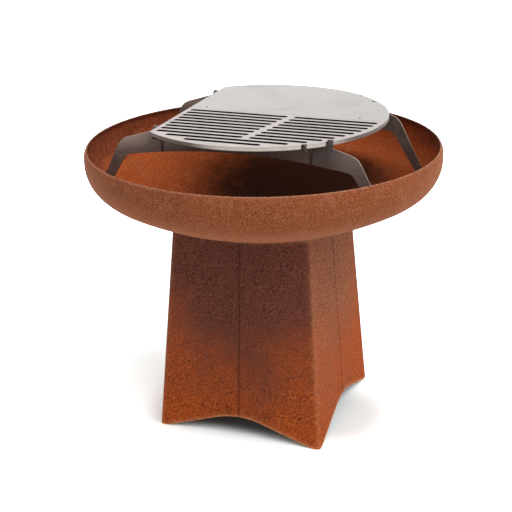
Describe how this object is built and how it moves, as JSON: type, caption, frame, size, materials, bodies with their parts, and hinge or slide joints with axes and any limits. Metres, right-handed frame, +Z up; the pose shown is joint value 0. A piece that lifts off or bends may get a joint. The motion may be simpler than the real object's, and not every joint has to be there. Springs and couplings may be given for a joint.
{
  "type": "corten steel grill",
  "caption": "Free-standing fire bowl grill: a dished rusted-steel bowl on a tapered square pedestal, with a lift-off griddle and slotted grate on a lapped sheet-metal stand.",
  "frame": {"origin": "on the floor, on the axis of the bowl", "axes": "+Z up, +X along the grate slots away from the straight side of the plates, +Y from the grate to the griddle at the back"},
  "size_m": [0.8, 0.8, 0.713],
  "materials": {
    "bowl_rust": "matt rust patina of bare weathering steel",
    "pedestal_rust": "matt rust patina of bare weathering steel, darker than the bowl",
    "griddle_steel": "bare rolled steel, satin",
    "grate_steel": "bare rolled steel, satin",
    "stand_steel": "dark mill scale with paler cut edges",
    "fastener_steel": "plain zinc-grey steel"
  },
  "bodies": {
    "pedestal": {"front_left_panel": "pedestal_rust", "front_right_panel": "pedestal_rust", "back_left_panel": "pedestal_rust", "back_right_panel": "pedestal_rust", "front_seam_bolts": "fastener_steel", "right_seam_bolts": "fastener_steel", "back_seam_bolts": "fastener_steel", "left_seam_bolts": "fastener_steel", "front_seam_washers": "fastener_steel", "right_seam_washers": "fastener_steel", "back_seam_washers": "fastener_steel", "left_seam_washers": "fastener_steel", "front_seam_nuts": "fastener_steel", "right_seam_nuts": "fastener_steel", "back_seam_nuts": "fastener_steel", "left_seam_nuts": "fastener_steel"},
    "bowl": {"fire_bowl": "bowl_rust"},
    "stand": {"stand_front_beam": "stand_steel", "stand_back_beam": "stand_steel", "stand_left_rail": "stand_steel", "stand_right_rail": "stand_steel"},
    "griddle": {"griddle_plate": "griddle_steel"},
    "grate": {"slotted_grate": "grate_steel"}
  },
  "joints": [
    {"name": "bowl_lift", "type": "slide", "parent": "pedestal", "child": "bowl", "axis": [0, 0, 1], "range_m": [0, 0.08]},
    {"name": "stand_lift", "type": "slide", "parent": "bowl", "child": "stand", "axis": [0, 0, 1], "range_m": [0, 0.12]},
    {"name": "griddle_lift", "type": "slide", "parent": "stand", "child": "griddle", "axis": [0, 0, 1], "range_m": [0, 0.06]},
    {"name": "grate_lift", "type": "slide", "parent": "stand", "child": "grate", "axis": [0, 0, 1], "range_m": [0, 0.06]}
  ]
}
